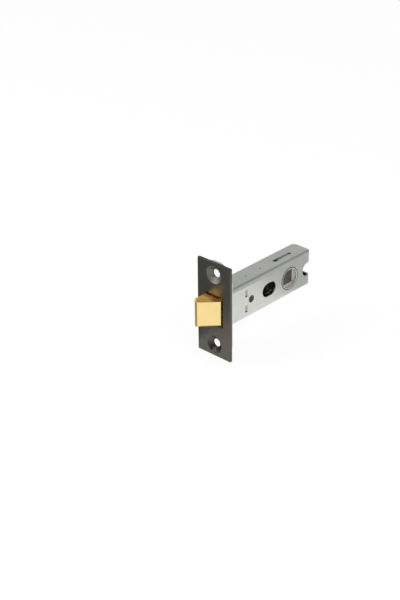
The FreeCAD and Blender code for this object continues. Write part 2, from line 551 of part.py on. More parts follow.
def make_cross_pin():
    """Pin through both sides, with a shallow dimple in each end."""
    body = new_body("cross_pin")
    end = f"({CASE_X} - Sizes.pin_sunk)"
    shaft = new_sketch(body, "ShaftOutline", "YZ_Plane", f"-{end}")
    disc(shaft, PIN_PLACE, "0", PIN_RADIUS)
    grow(body, "Shaft", shaft, f"2 * {end}")
    round_hole(body, "NearDimple", f"{end} - Sizes.pin_sunk", f"{end} + {PAST}",
               PIN_PLACE, "0", f"{PIN_RADIUS} / 2")
    round_hole(body, "FarDimple", f"-{end} - {PAST}", f"-{end} + Sizes.pin_sunk",
               PIN_PLACE, "0", f"{PIN_RADIUS} / 2")


def make_bolt_spring():
    """Compression spring from the bottom of the bolt's bore to the abutment."""
    radius = "(Sizes.spring_bore / 2 - Sizes.spring_play - Sizes.spring_wire / 2)"
    front = "(-Sizes.bore_bottom + Sizes.spring_wire / 2 + Sizes.seat_play)"
    rear = f"({STOP_FRONT} - Sizes.spring_wire / 2 - Sizes.seat_play)"
    helix = doc.addObject("Part::Helix", "SpringLine")
    helix.setExpression("Radius", f"{radius} * 1mm")
    helix.setExpression("Height", f"({rear} - {front}) * 1mm")
    helix.setExpression("Pitch", f"({rear} - {front}) / Sizes.spring_turns * 1mm")
    wire = doc.addObject("Part::Circle", "SpringWire")
    wire.setExpression("Radius", "Sizes.spring_wire / 2 * 1mm")
    wire.setExpression("Placement.Base.x", f"{radius} * 1mm")
    wire.Placement.Rotation = FreeCAD.Rotation(X, 90)
    coil = doc.addObject("Part::Sweep", "bolt_spring")
    coil.Label = "bolt_spring"
    coil.Sections = [wire]
    coil.Spine = (helix, ["Edge1"])
    coil.Solid = True
    coil.Frenet = True
    coil.Placement.Rotation = FreeCAD.Rotation(X, -90)
    coil.setExpression("Placement.Base.y", f"{front} * 1mm")
    doc.recompute()


make_faceplate()
make_forend()
make_case_shell()
make_case_cover()
make_bolt()
make_pull_arm("pull_arm_upper", "")
make_pull_arm("pull_arm_lower", "-")
make_follower()
make_spring_abutment()
make_guide_rod()
make_cross_pin()
make_bolt_spring()

NODES = ("faceplate", "forend_plate", "case_shell", "case_cover", "latch_bolt", "pull_arm_upper",
         "pull_arm_lower", "follower", "spring_abutment", "spring_guide_rod", "cross_pin", "bolt_spring")
doc.recompute()
for feature in doc.Objects:
    if "Invalid" in feature.State or "Error" in feature.State:
        raise RuntimeError(f"{feature.Label} failed: {feature.State}")
os.makedirs("parts", exist_ok=True)
for label in NODES:
    piece = doc.getObjectsByLabel(label)[0]
    shape = piece.Shape
    if shape.isNull() or not shape.isValid() or len(shape.Solids) != 1:
        raise RuntimeError(f"{label} has no single valid solid")
    shape.exportStep(f"parts/{label}.step")
    box = shape.BoundBox
    print(f"{label}: {shape.Volume:.1f} mm3, x {box.XMin:.2f} {box.XMax:.2f}, "
          f"y {box.YMin:.2f} {box.YMax:.2f}, z {box.ZMin:.2f} {box.ZMax:.2f}")
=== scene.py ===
"""Tubular door latch: black nickel faceplate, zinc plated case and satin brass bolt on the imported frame."""
import math

import bmesh
import bpy
from mathutils import Matrix, Vector


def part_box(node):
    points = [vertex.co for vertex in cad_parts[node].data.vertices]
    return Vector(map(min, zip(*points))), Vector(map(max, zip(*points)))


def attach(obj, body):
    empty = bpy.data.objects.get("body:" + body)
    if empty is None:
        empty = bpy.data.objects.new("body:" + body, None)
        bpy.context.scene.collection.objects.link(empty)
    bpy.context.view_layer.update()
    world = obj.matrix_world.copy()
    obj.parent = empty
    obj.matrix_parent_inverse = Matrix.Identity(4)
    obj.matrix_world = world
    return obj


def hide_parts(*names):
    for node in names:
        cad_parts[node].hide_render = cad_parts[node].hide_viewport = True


bl_info = {
    "name": "Tubular Door Latch",
    "version": (1, 0, 0),
    "blender": (4, 5, 0),
    "location": "3D View > Sidebar > Latch",
    "description": "Dresses the frame of a tubular door latch with its finishes, and lights it on a plain floor",
    "category": "Object",
}

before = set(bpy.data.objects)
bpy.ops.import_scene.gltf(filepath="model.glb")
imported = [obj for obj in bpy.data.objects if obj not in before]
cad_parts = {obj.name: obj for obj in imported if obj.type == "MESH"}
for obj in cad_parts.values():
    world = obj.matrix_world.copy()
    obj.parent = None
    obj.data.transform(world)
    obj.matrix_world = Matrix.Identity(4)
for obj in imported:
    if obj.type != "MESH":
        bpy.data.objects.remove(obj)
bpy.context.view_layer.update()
MM = 0.001
WHITE = (1, 1, 1, 1)

# Places on the latch. X and Z are measured from its middle, Y from the faceplate's front.
PLATE_LOW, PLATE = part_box("faceplate")
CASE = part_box("case_shell")[1]
SHOULDER_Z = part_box("latch_bolt")[1].z
SPRING_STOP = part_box("spring_abutment")[0].y
SKIN = 0.15 * MM  # anything this deep under an outside is a cut wall or an inner face
HAIR = 0.05 * MM  # just short of a fold
RIM_Z = PLATE.z - 0.12 * MM
SCREW_Z = PLATE.z - 7.3 * MM  # middle of each wood screw's hole
DIMPLE_RADIUS = 5.7 * MM
DIMPLE_SHADE_FROM, DIMPLE_SHADE_TO = SCREW_Z - 1.0 * MM, SCREW_Z + 1.4 * MM  # painted shade in the lower dimple deepens towards its bottom between these
OPENING_X, OPENING_Z = 7.2 * MM, 10.5 * MM  # just past the walls of the bolt's opening
OPENING_Y = 0.1 * MM
FOLD = 2.3 * MM  # outside radius of the folds along the case
END_BEND = 3.0 * MM  # outside radius of the bends at the case's end
END_WALL = 0.4 * MM  # the end wall's outer half, which keeps the outside's plating
HEAD_Z = SHOULDER_Z - 1.4 * MM  # half the height of the bolt's head
FLANK_Z = HEAD_Z - 1.5 * MM + SKIN  # past the bevel and into the chamfer above it
PLATE_SHADE_FROM, PLATE_SHADE_TO = -4.6 * MM, -2.4 * MM  # painted shade turns the bolt's gold browner between these, towards the faceplate
SPINDLE_Y = CASE.y - 19.0 * MM
SQUARE = 4.12 * MM  # half of the follower's square hole, and a hair
GAP_SHADE_RADIUS = 6.62 * MM  # rim of the follower's end, next to its bearing; painted shade lies outside it

# Bolt spring, in metres
WIRE = 0.7 * MM
SPRING_RADIUS = 2.85 * MM  # to the middle of the wire
SPRING_REAR = SPRING_STOP - 0.6 * WIRE  # the last turn lies just off the abutment
SPRING_FRONT = SPRING_REAR - 6.1 * MM
SPRING_TURNS = 8

# Mesh work
WELD = 0.002 * MM
FLAT = math.radians(0.4)  # faces that meet at less than this are one flat
CORNER = math.radians(28)  # edges sharper than this are broken
CREASE = math.radians(35)  # edges sharper than this stay sharp in the shading
BREAK_SEGMENTS = 2

# Stage, in metres
FLOOR_HALF = 3.0
AIM = Vector((0, 0.03, 0))
KEY_PLACE, KEY_SIZE = Vector((0.75, -0.15, 0.65)), 0.7
FILL_PLACE, FILL_SIZE = Vector((-0.61, -0.68, 0.44)), 0.8
# each card: one end of its foot, the other end, and the height of its top
LEFT_CARD = Vector((-0.021, -0.13, PLATE_LOW.z)), Vector((-0.021, 0.03, PLATE_LOW.z)), 0.012
LEFT_LEAN = Vector((-0.044, 0, 0))
REAR_CARD = Vector((0.012, 0.083, PLATE_LOW.z)), Vector((0.26, 0.083, PLATE_LOW.z)), 0.03
REAR_LEAN = Vector((0, 0.037, 0))
WALLS_END, CEILING_START = 0.45, 0.85  # heights in the room, from 0 at the horizon to 1 overhead

# Camera of the photograph
PHOTO_HEIGHT, PHOTO_FOCAL = 600, 1543.382  # in pixels
EYE = Vector((516.299, -549.339, 419.557)) * MM
EYE_RIGHT = Vector((0.72546675, 0.68817945, -0.01034603))
EYE_UP = Vector((-0.32421763, 0.35496717, 0.87685873))
SENSOR = 36.0
NEAREST, FARTHEST = 0.01, 20.0


# Colours, sizes and light that a user would change

def linear(hex_colour):
    """An sRGB hex value as linear red, green, blue."""
    shares = [int(hex_colour[i:i + 2], 16) / 255 for i in (1, 3, 5)]
    return tuple(s / 12.92 if s <= 0.04045 else ((s + 0.055) / 1.055) ** 2.4 for s in shares)


class LatchFinishes(bpy.types.PropertyGroup):
    """Colours of the finishes."""
    black_nickel: bpy.props.FloatVectorProperty(
        name="Black nickel", description="Faceplate's dark satin plating", subtype="COLOR",
        size=3, min=0, max=1, default=linear("#65625D"))
    pressed_nickel: bpy.props.FloatVectorProperty(
        name="Black nickel, pressed", description="Thinner plating in the upper screw dimple", subtype="COLOR",
        size=3, min=0, max=1, default=linear("#7C7B75"))
    # painted shade: the lower dimple is painted this dark, in blotches, deepening towards its bottom
    shaded_nickel: bpy.props.FloatVectorProperty(
        name="Black nickel, oily", description="Plating under oil in the lower screw dimple", subtype="COLOR",
        size=3, min=0, max=1, default=linear("#2B2925"))
    rim_nickel: bpy.props.FloatVectorProperty(
        name="Black nickel, rim", description="Darker plating on the sheared rim", subtype="COLOR",
        size=3, min=0, max=1, default=linear("#45433F"))
    cut_nickel: bpy.props.FloatVectorProperty(
        name="Black nickel, cut edge", description="Dull plating in the punched opening", subtype="COLOR",
        size=3, min=0, max=1, default=linear("#7D7770"))
    zinc: bpy.props.FloatVectorProperty(
        name="Zinc plating", description="Clear passivated zinc on the folded case", subtype="COLOR",
        size=3, min=0, max=1, default=linear("#DDDFD9"))
    zinc_shade: bpy.props.FloatVectorProperty(
        name="Zinc plating, dull patches", description="Where the zinc plating has gone duller", subtype="COLOR",
        size=3, min=0, max=1, default=linear("#CBCEC8"))
    # duller thin plating, darkened further as painted shade inside the case and on its cut walls
    dull_and_shaded_zinc: bpy.props.FloatVectorProperty(
        name="Zinc plating, inside", description="Thin dull plating on cut edges and inside the case",
        subtype="COLOR", size=3, min=0, max=1, default=linear("#A2A4A0"))
    brass: bpy.props.FloatVectorProperty(
        name="Brass", description="Satin polished brass of the bolt", subtype="COLOR",
        size=3, min=0, max=1, default=linear("#FEE29F"))
    # painted shade: the top and bottom of the bolt are painted this deeper gold
    flank_shade_brass: bpy.props.FloatVectorProperty(
        name="Brass, rubbed", description="Deeper gold on the top and bottom of the bolt's nose", subtype="COLOR",
        size=3, min=0, max=1, default=linear("#FBC768"))
    # painted shade: the bolt's top and bottom turn this brown towards the faceplate
    deep_shade_brass: bpy.props.FloatVectorProperty(
        name="Brass, dull", description="Brown gold where the bolt slides in the faceplate", subtype="COLOR",
        size=3, min=0, max=1, default=linear("#D9A052"))
    die_cast: bpy.props.FloatVectorProperty(
        name="Die casting", description="Plated zinc die casting of the follower", subtype="COLOR",
        size=3, min=0, max=1, default=linear("#D0CDC5"))
    drawn_steel: bpy.props.FloatVectorProperty(
        name="Drawn steel", description="Pin and guide rod", subtype="COLOR",
        size=3, min=0, max=1, default=linear("#6E6C68"))
    spring_steel: bpy.props.FloatVectorProperty(
        name="Spring steel", description="Bolt spring's wire", subtype="COLOR",
        size=3, min=0, max=1, default=linear("#A7A7A5"))


class LatchEdges(bpy.types.PropertyGroup):
    """How far each kind of edge is broken."""
    plate: bpy.props.FloatProperty(
        name="Plate edges", description="Broken edge of the faceplate", unit="LENGTH", min=0.02 * MM,
        max=0.5 * MM, precision=5, default=0.12 * MM)
    sheet: bpy.props.FloatProperty(
        name="Sheet edges", description="Sheared edges of the folded sheet", unit="LENGTH", min=0.02 * MM,
        max=0.4 * MM, precision=5, default=0.09 * MM)
    brass: bpy.props.FloatProperty(
        name="Brass edges", description="Edges of the bolt after polishing", unit="LENGTH", min=0.02 * MM,
        max=0.6 * MM, precision=5, default=0.18 * MM)
    cast: bpy.props.FloatProperty(
        name="Cast edges", description="Edges of the die-cast follower", unit="LENGTH", min=0.02 * MM,
        max=0.4 * MM, precision=5, default=0.2 * MM)


class LatchStudio(bpy.types.PropertyGroup):
    """Plain soft studio. Metal mirrors its white floor, its walls and ceiling and two grey cards."""
    key: bpy.props.FloatProperty(
        name="Key lamp", description="Large lamp on the case's side", unit="POWER", min=0, default=4.0)
    fill: bpy.props.FloatProperty(
        name="Fill lamp", description="Soft lamp on the faceplate's side", unit="POWER", min=0, default=5.5)
    sky: bpy.props.FloatProperty(
        name="Room light", description="Even light from all round", subtype="FACTOR", min=0, max=1,
        default=0.75)
    walls: bpy.props.FloatProperty(
        name="Walls", description="Tone of the room's walls, as metal mirrors them", subtype="FACTOR", min=0,
        max=1, default=0.62)
    ceiling: bpy.props.FloatProperty(
        name="Ceiling", description="Tone of the room overhead, as metal mirrors it", subtype="FACTOR", min=0,
        max=1, default=0.18)
    left_card: bpy.props.FloatProperty(
        name="Left card", description="Tone of the card beside the faceplate, as metal mirrors it",
        subtype="FACTOR", min=0, max=1, default=0.34)
    rear_card: bpy.props.FloatProperty(
        name="Rear card", description="Tone of the card behind the case, as metal mirrors it",
        subtype="FACTOR", min=0, max=1, default=0.56)
    floor: bpy.props.FloatVectorProperty(
        name="Floor", description="Pale floor", subtype="COLOR", size=3, min=0, max=1, default=linear("#F4F4F2"))


# Meshes

def broken_edges(node, label, width, whole_faces=True):
    """A copy of a solid's mesh with its sharp edges broken, its rounds smooth and, if asked, its flats whole."""
    work = bmesh.new()
    work.from_mesh(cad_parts[node].data)
    bmesh.ops.remove_doubles(work, verts=work.verts, dist=WELD)
    if whole_faces:
        bmesh.ops.dissolve_limit(work, angle_limit=FLAT, verts=work.verts, edges=work.edges)
    work.normal_update()
    corners = [edge for edge in work.edges
               if len(edge.link_faces) == 2 and edge.calc_face_angle(0) > CORNER]
    bmesh.ops.bevel(work, geom=corners, offset=width, segments=BREAK_SEGMENTS, affect="EDGES", profile=0.5,
                    clamp_overlap=True, loop_slide=True)
    piece = finished(work, label)
    piece.data.set_sharp_from_angle(angle=CREASE)
    piece.modifiers.new("EvenShading", "WEIGHTED_NORMAL").keep_sharp = True
    return piece


def coil(label, radius, wire, front, rear, turns, steps=36, sides=12):
    """A coil of round wire about the Y axis, closed at both ends."""
    work = bmesh.new()
    rings = []
    for step in range(turns * steps + 1):
        angle = 2 * math.pi * step / steps
        outwards = Vector((math.cos(angle), 0, math.sin(angle)))
        middle = outwards * radius + Vector((0, front + (rear - front) * step / (turns * steps), 0))
        ring = []
        for side in range(sides):
            round_wire = 2 * math.pi * side / sides
            reach = outwards * math.cos(round_wire) + Vector((0, math.sin(round_wire), 0))
            ring.append(work.verts.new(middle + reach * wire / 2))
        rings.append(ring)
    for one, other in zip(rings, rings[1:]):
        for side in range(sides):
            after = (side + 1) % sides
            work.faces.new((one[side], other[side], other[after], one[after]))
    work.faces.new(rings[0])
    work.faces.new(reversed(rings[-1]))
    bmesh.ops.recalc_face_normals(work, faces=work.faces)
    return finished(work, label)


def finished(work, label):
    """The worked mesh as a smooth-shaded object in the scene."""
    mesh = bpy.data.meshes.new(label)
    work.to_mesh(mesh)
    work.free()
    mesh.shade_smooth()
    piece = bpy.data.objects.new(label, mesh)
    bpy.context.scene.collection.objects.link(piece)
    return piece


def place(piece, material, body, node):
    """Gives a piece its finish and its body, and hides the node that it stands for."""
    piece.data.materials.clear()
    piece.data.materials.append(material)
    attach(piece, body)
    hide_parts(node)


# Parts of a finish

def add(tree, kind, links=None, values=None, **settings):
    """Adds one node with its settings, socket values and incoming links."""
    made = tree.nodes.new(kind)
    for name, value in settings.items():
        setattr(made, name, value)
    for name, value in (values or {}).items():
        made.inputs[name].default_value = value
    for name, source in (links or {}).items():
        tree.links.new(source, made.inputs[name])
    return made


def new_material(name):
    """A material without nodes, and its tree."""
    material = bpy.data.materials.new(name)
    material.use_nodes = True
    material.node_tree.nodes.clear()
    return material, material.node_tree


def surface(tree, links, values):
    """Ends a finish in its Principled shader and output."""
    shader = add(tree, "ShaderNodeBsdfPrincipled", links, values)
    add(tree, "ShaderNodeOutputMaterial", {"Surface": shader.outputs["BSDF"]})


def toned(colour, share=1.0):
    """A colour made darker or lighter by a share, as a socket takes it."""
    return (*[part * share for part in colour], 1)


def per_metre(size_mm):
    """Texture scale at which one feature of the pattern is size_mm across."""
    return 1 / (size_mm * MM)


def rolled_grain(tree, along, across_mm, length_mm, detail=3.0):
    """Noise drawn out along one axis, as rolling, drawing or brushing leaves it."""
    where = add(tree, "ShaderNodeTexCoord")
    scale = [per_metre(across_mm)] * 3
    scale["XYZ".index(along)] = per_metre(length_mm)
    stretched = add(tree, "ShaderNodeMapping", {"Vector": where.outputs["Object"]}, {"Scale": scale})
    return add(tree, "ShaderNodeTexNoise", {"Vector": stretched.outputs["Vector"]},
               {"Scale": 1.0, "Detail": detail, "Roughness": 0.6}).outputs["Fac"]


def clouds(tree, size_mm, detail=2.0):
    """Soft patches of one size, the same in all directions."""
    where = add(tree, "ShaderNodeTexCoord")
    return add(tree, "ShaderNodeTexNoise", {"Vector": where.outputs["Object"]},
               {"Scale": per_metre(size_mm), "Detail": detail, "Roughness": 0.5}).outputs["Fac"]


def position(tree):
    """The three parts of a point's place on the latch."""
    where = add(tree, "ShaderNodeTexCoord")
    return add(tree, "ShaderNodeSeparateXYZ", {"Vector": where.outputs["Object"]}).outputs


def region(tree, *limits):
    """1 where every (axis, test, metres) holds and 0 elsewhere, the same on both sides of the latch's middle."""
    parts = position(tree)
    held = None
    for axis, test, metres in limits:
        part = parts[axis]
        if axis in "XZ":
            part = add(tree, "ShaderNodeMath", {0: part}, operation="ABSOLUTE").outputs[0]
        holds = add(tree, "ShaderNodeMath", {0: part}, {1: metres}, operation=test).outputs[0]
        if held is not None:
            holds = add(tree, "ShaderNodeMath", {0: held, 1: holds}, operation="MULTIPLY").outputs[0]
        held = holds
    return held


def from_axis(tree, one, one_middle, other):
    """Distance from an axis that runs through one_middle on the first part and 0 on the other."""
    beside = add(tree, "ShaderNodeMath", {0: one}, {1: one_middle}, operation="SUBTRACT")
    flat = add(tree, "ShaderNodeCombineXYZ", {"X": beside.outputs[0], "Y": other})
    return add(tree, "ShaderNodeVectorMath", {0: flat.outputs[0]}, operation="LENGTH").outputs["Value"]


def screw_dimples(tree):
    """Blotches in the two pressed screw dimples and 0 elsewhere: all over the upper one, and low down in the
    lower, where they are painted shade.
    """
    parts = position(tree)
    height = add(tree, "ShaderNodeMath", {0: parts["Z"]}, operation="ABSOLUTE")
    near = add(tree, "ShaderNodeMath", {0: from_axis(tree, height.outputs[0], SCREW_Z, parts["X"])},
               {1: DIMPLE_RADIUS}, operation="LESS_THAN")
    sunk = region(tree, ("Y", "GREATER_THAN", SKIN))
    inside = add(tree, "ShaderNodeMath", {0: near.outputs[0], 1: sunk}, operation="MULTIPLY")
    blotches = add(tree, "ShaderNodeMapRange", {"Value": clouds(tree, size_mm=1.6)},
                   {"From Min": 0.35, "From Max": 0.65, "To Min": 0.45, "To Max": 1.15})
    # painted shade in the lower dimple, deeper towards its bottom
    low_shade = add(tree, "ShaderNodeMapRange", {"Value": parts["Z"]},
              {"From Min": -DIMPLE_SHADE_TO, "From Max": -DIMPLE_SHADE_FROM, "To Min": 0.9, "To Max": 0.12})
    upper = add(tree, "ShaderNodeMath", {0: parts["Z"]}, {1: 0.0}, operation="GREATER_THAN")
    amount = add(tree, "ShaderNodeMath", {0: upper.outputs[0], 1: low_shade.outputs["Result"]}, operation="MAXIMUM")
    uneven = add(tree, "ShaderNodeMath", {0: amount.outputs[0], 1: blotches.outputs["Result"]},
                 operation="MULTIPLY")
    pressed_or_shaded = add(tree, "ShaderNodeMath", {0: inside.outputs[0], 1: uneven.outputs[0]}, operation="MULTIPLY")
    return pressed_or_shaded.outputs[0], upper.outputs[0]


def crevice_shade(tree, colour, depth_mm, darkest):
    """A colour painted darker in slits and gaps narrower than depth_mm: painted shade."""
    shelter = add(tree, "ShaderNodeAmbientOcclusion", values={"Distance": depth_mm * MM}, samples=8)
    share = add(tree, "ShaderNodeMapRange", {"Value": shelter.outputs["AO"]},
                {"From Min": 0.35, "From Max": 0.9, "To Min": darkest, "To Max": 1.0})
    return add(tree, "ShaderNodeVectorMath", {0: colour, "Scale": share.outputs["Result"]},
               operation="SCALE").outputs["Vector"]


# Finishes

def black_nickel_satin(finishes):
    """Steel sheet, satin brushed and plated with black nickel."""
    # A dark warm mirror, blurred so far that it shows soft tones and no pictures, with duller dimples and rim, and
    # painted shade low in the lower dimple.
    material, tree = new_material("black_nickel_satin")
    dimple_roughness, opening_dullness = 0.2, 0.8
    plated = add(tree, "ShaderNodeMix", {"Factor": clouds(tree, size_mm=9.0)},
                 {"A": toned(finishes.black_nickel, share=0.78), "B": toned(finishes.black_nickel)},
                 data_type="RGBA")
    dimples, upper = screw_dimples(tree)
    # the upper dimple's pressed plating, and painted shade in the lower one
    dimple_tone = add(tree, "ShaderNodeMix", {"Factor": upper},
                {"A": toned(finishes.shaded_nickel), "B": toned(finishes.pressed_nickel)}, data_type="RGBA")
    pressed = add(tree, "ShaderNodeMix", {"Factor": dimples, "A": plated.outputs["Result"],
                                          "B": dimple_tone.outputs["Result"]}, data_type="RGBA")
    opening = region(tree, ("Z", "LESS_THAN", OPENING_Z), ("X", "LESS_THAN", OPENING_X),
                     ("Y", "GREATER_THAN", OPENING_Y))
    edged = add(tree, "ShaderNodeMix", {"Factor": opening, "A": pressed.outputs["Result"]},
                {"B": toned(finishes.cut_nickel)}, data_type="RGBA")
    rim = add(tree, "ShaderNodeMix", {"Factor": region(tree, ("Z", "GREATER_THAN", RIM_Z)),
                                      "A": edged.outputs["Result"]},
              {"B": toned(finishes.rim_nickel)}, data_type="RGBA")
    # the real brush lines are about 0.03 mm wide, too fine to show, so they are drawn four times as wide
    lines = rolled_grain(tree, "Z", across_mm=0.12, length_mm=5.0)
    rough = add(tree, "ShaderNodeMapRange", {"Value": lines}, {"To Min": 0.30, "To Max": 0.42})
    duller = add(tree, "ShaderNodeMath", {0: dimples, 2: rough.outputs["Result"]}, {1: dimple_roughness},
                 operation="MULTIPLY_ADD")
    bare = add(tree, "ShaderNodeMath", {0: opening}, {1: -opening_dullness, 2: 1.0}, operation="MULTIPLY_ADD")
    scratched = add(tree, "ShaderNodeBump", {"Height": lines}, {"Strength": 0.25, "Distance": 0.004 * MM})
    surface(tree, {"Base Color": rim.outputs["Result"], "Roughness": duller.outputs[0],
                   "Metallic": bare.outputs[0], "Normal": scratched.outputs["Normal"]}, {})
    return material


def zinc_plated_sheet(finishes, name="zinc_plated_sheet", along="Y", folded=False):
    """Cold-rolled steel sheet, pressed, then zinc plated and clear passivated."""
    # A soft light grey with dull patches and a faint rolling grain, with painted shade where two sheets nearly
    # meet and, on the case, inside it.
    material, tree = new_material(name)
    plated = add(tree, "ShaderNodeMix", {"Factor": clouds(tree, size_mm=7.0, detail=3.0)},
                 {"A": toned(finishes.zinc), "B": toned(finishes.zinc_shade)}, data_type="RGBA")
    colour = plated.outputs["Result"]
    if folded:
        # the case's inner faces and the walls of its holes, all that lies between its folds and under its skin,
        # get duller plating and painted shade
        between_folds = region(tree, ("X", "LESS_THAN", CASE.x - FOLD - HAIR), ("Z", "LESS_THAN", CASE.z - SKIN),
                               ("Y", "LESS_THAN", CASE.y - END_WALL))
        between_sides = region(tree, ("X", "LESS_THAN", CASE.x - SKIN), ("Z", "LESS_THAN", CASE.z - FOLD - HAIR),
                               ("Y", "LESS_THAN", CASE.y - END_BEND))
        inside = add(tree, "ShaderNodeMath", {0: between_folds, 1: between_sides}, operation="MAXIMUM")
        colour = add(tree, "ShaderNodeMix", {"Factor": inside.outputs[0], "A": colour},
                     {"B": toned(finishes.dull_and_shaded_zinc)}, data_type="RGBA").outputs["Result"]
    # the real rolling grain is about 0.05 mm wide, too fine to show, so it is drawn four times as wide
    grain = rolled_grain(tree, along, across_mm=0.2, length_mm=6.0)
    rough = add(tree, "ShaderNodeMapRange", {"Value": grain}, {"To Min": 0.27, "To Max": 0.37})
    grained = add(tree, "ShaderNodeBump", {"Height": grain}, {"Strength": 0.25, "Distance": 0.006 * MM})
    # painted shade in slits and gaps
    surface(tree, {"Base Color": crevice_shade(tree, colour, depth_mm=1.0, darkest=0.6), "Roughness": rough.outputs["Result"],
                   "Normal": grained.outputs["Normal"]}, {"Metallic": 1.0})
    return material


def satin_brass(finishes):
    """Brass bar, machined and satin polished along the bolt's height."""
    # Warm pale yellow with hair lines, and painted shade: a deeper gold above and below the bevel, browner towards
    # the faceplate.
    material, tree = new_material("satin_brass")
    nose_dullness = 0.22
    polished = add(tree, "ShaderNodeMix", {"Factor": clouds(tree, size_mm=5.0)},
                   {"A": toned(finishes.brass), "B": toned(finishes.brass, share=0.9)}, data_type="RGBA")
    flanks = region(tree, ("Z", "GREATER_THAN", FLANK_Z))
    # painted shade on the top and bottom, browner towards the faceplate
    plate_shade = add(tree, "ShaderNodeMapRange", {"Value": position(tree)["Y"]},
                {"From Min": PLATE_SHADE_FROM, "From Max": PLATE_SHADE_TO, "To Min": 0.0, "To Max": 1.0})
    gold = add(tree, "ShaderNodeMix", {"Factor": plate_shade.outputs["Result"]},
               {"A": toned(finishes.flank_shade_brass), "B": toned(finishes.deep_shade_brass)}, data_type="RGBA")
    shaded_colour = add(tree, "ShaderNodeMix", {"Factor": flanks, "A": polished.outputs["Result"],
                                       "B": gold.outputs["Result"]}, data_type="RGBA")
    nose = add(tree, "ShaderNodeMath", {0: plate_shade.outputs["Result"]}, {1: -1.0, 2: 1.0}, operation="MULTIPLY_ADD")
    matt = add(tree, "ShaderNodeMath", {0: nose.outputs[0], 1: flanks}, operation="MULTIPLY")
    bright = add(tree, "ShaderNodeMath", {0: matt.outputs[0]}, {1: -nose_dullness, 2: 1.0},
                 operation="MULTIPLY_ADD")
    # the real polishing lines are about 0.02 mm wide, too fine to show, so they are drawn five times as wide
    lines = rolled_grain(tree, "Z", across_mm=0.1, length_mm=8.0, detail=4.0)
    rough = add(tree, "ShaderNodeMapRange", {"Value": lines}, {"To Min": 0.14, "To Max": 0.22})
    scratched = add(tree, "ShaderNodeBump", {"Height": lines}, {"Strength": 0.12, "Distance": 0.002 * MM})
    surface(tree, {"Base Color": shaded_colour.outputs["Result"], "Roughness": rough.outputs["Result"],
                   "Metallic": bright.outputs[0], "Normal": scratched.outputs["Normal"]}, {})
    return material


def plated_die_casting(finishes):
    """Zinc alloy, die cast and thinly plated."""
    # Slightly pebbled and duller than the sheet, with painted shade: black at its bearing, in the gap around it,
    # and dim in the square hole.
    material, tree = new_material("plated_die_casting")
    gap_shade, shade = 0.9, 0.55  # shares of the light that the bearing and the square hole lose
    cast = add(tree, "ShaderNodeMix", {"Factor": clouds(tree, size_mm=3.0)},
               {"A": toned(finishes.die_cast), "B": toned(finishes.die_cast, share=0.82)}, data_type="RGBA")
    parts = position(tree)
    # painted shade of the gap round the bearing
    bearing = add(tree, "ShaderNodeMath", {0: from_axis(tree, parts["Y"], SPINDLE_Y, parts["Z"])},
                  {1: GAP_SHADE_RADIUS}, operation="GREATER_THAN")
    bore = region(tree, ("Y", "GREATER_THAN", SPINDLE_Y - SQUARE), ("Y", "LESS_THAN", SPINDLE_Y + SQUARE),
                  ("Z", "LESS_THAN", SQUARE))
    shaded = add(tree, "ShaderNodeMath", {0: bore}, {1: shade}, operation="MULTIPLY")
    lost = add(tree, "ShaderNodeMath", {0: bearing.outputs[0], 2: shaded.outputs[0]}, {1: gap_shade},
               operation="MULTIPLY_ADD")
    kept = add(tree, "ShaderNodeMath", {1: lost.outputs[0]}, {0: 1.0}, operation="SUBTRACT")
    shaded_colour = add(tree, "ShaderNodeVectorMath", {0: cast.outputs["Result"], "Scale": kept.outputs[0]},
               operation="SCALE")
    pebbled = add(tree, "ShaderNodeBump", {"Height": clouds(tree, size_mm=0.35, detail=4.0)},
                  {"Strength": 0.3, "Distance": 0.02 * MM})
    surface(tree, {"Base Color": shaded_colour.outputs["Vector"], "Normal": pebbled.outputs["Normal"]},
            {"Roughness": 0.4, "Metallic": 0.6})
    return material


def drawn_steel(name, colour, roughness):
    """Plain steel, drawn through a die."""
    # Grey and fairly bright, with faint lines along the draw.
    material, tree = new_material(name)
    # the real die lines are about 0.03 mm wide, too fine to show, so they are drawn four times as wide
    lines = rolled_grain(tree, "X", across_mm=0.12, length_mm=4.0)
    drawn = add(tree, "ShaderNodeMix", {"Factor": lines},
                {"A": toned(colour), "B": toned(colour, share=0.8)}, data_type="RGBA")
    scratched = add(tree, "ShaderNodeBump", {"Height": lines}, {"Strength": 0.2, "Distance": 0.005 * MM})
    surface(tree, {"Base Color": drawn.outputs["Result"], "Normal": scratched.outputs["Normal"]},
            {"Roughness": roughness, "Metallic": 1.0})
    return material


# Stage

def seen_as_backdrop(tree):
    """The ray's kind, and 1 for the rays that see the backdrop itself: from the camera, a gloss or clear glass."""
    rays = add(tree, "ShaderNodeLightPath")
    seen = add(tree, "ShaderNodeMath", {0: rays.outputs["Is Camera Ray"], 1: rays.outputs["Is Glossy Ray"]},
               operation="MAXIMUM")
    seen = add(tree, "ShaderNodeMath", {0: seen.outputs[0], 1: rays.outputs["Is Transmission Ray"]},
               operation="MAXIMUM")
    return rays, seen.outputs[0]


def pale_floor(studio):
    """Paper backdrop, smooth and matt."""
    # As good as white to the camera and in the metal, with the latch's shadow kept faint.
    material, tree = new_material("pale_matt_floor")
    whitened = 0.88  # the rest shows the shadow
    paper = add(tree, "ShaderNodeMix", {"Factor": clouds(tree, size_mm=2.0)},
                {"A": toned(studio.floor), "B": toned(studio.floor, share=1.02)}, data_type="RGBA")
    matt = add(tree, "ShaderNodeBsdfDiffuse", {"Color": paper.outputs["Result"]})
    white = add(tree, "ShaderNodeEmission", values={"Color": WHITE, "Strength": 1.0})
    share = add(tree, "ShaderNodeMath", {0: seen_as_backdrop(tree)[1]}, {1: whitened}, operation="MULTIPLY")
    both = add(tree, "ShaderNodeMixShader", {"Fac": share.outputs[0], 1: matt.outputs[0], 2: white.outputs[0]})
    add(tree, "ShaderNodeOutputMaterial", {"Surface": both.outputs[0]})
    return material


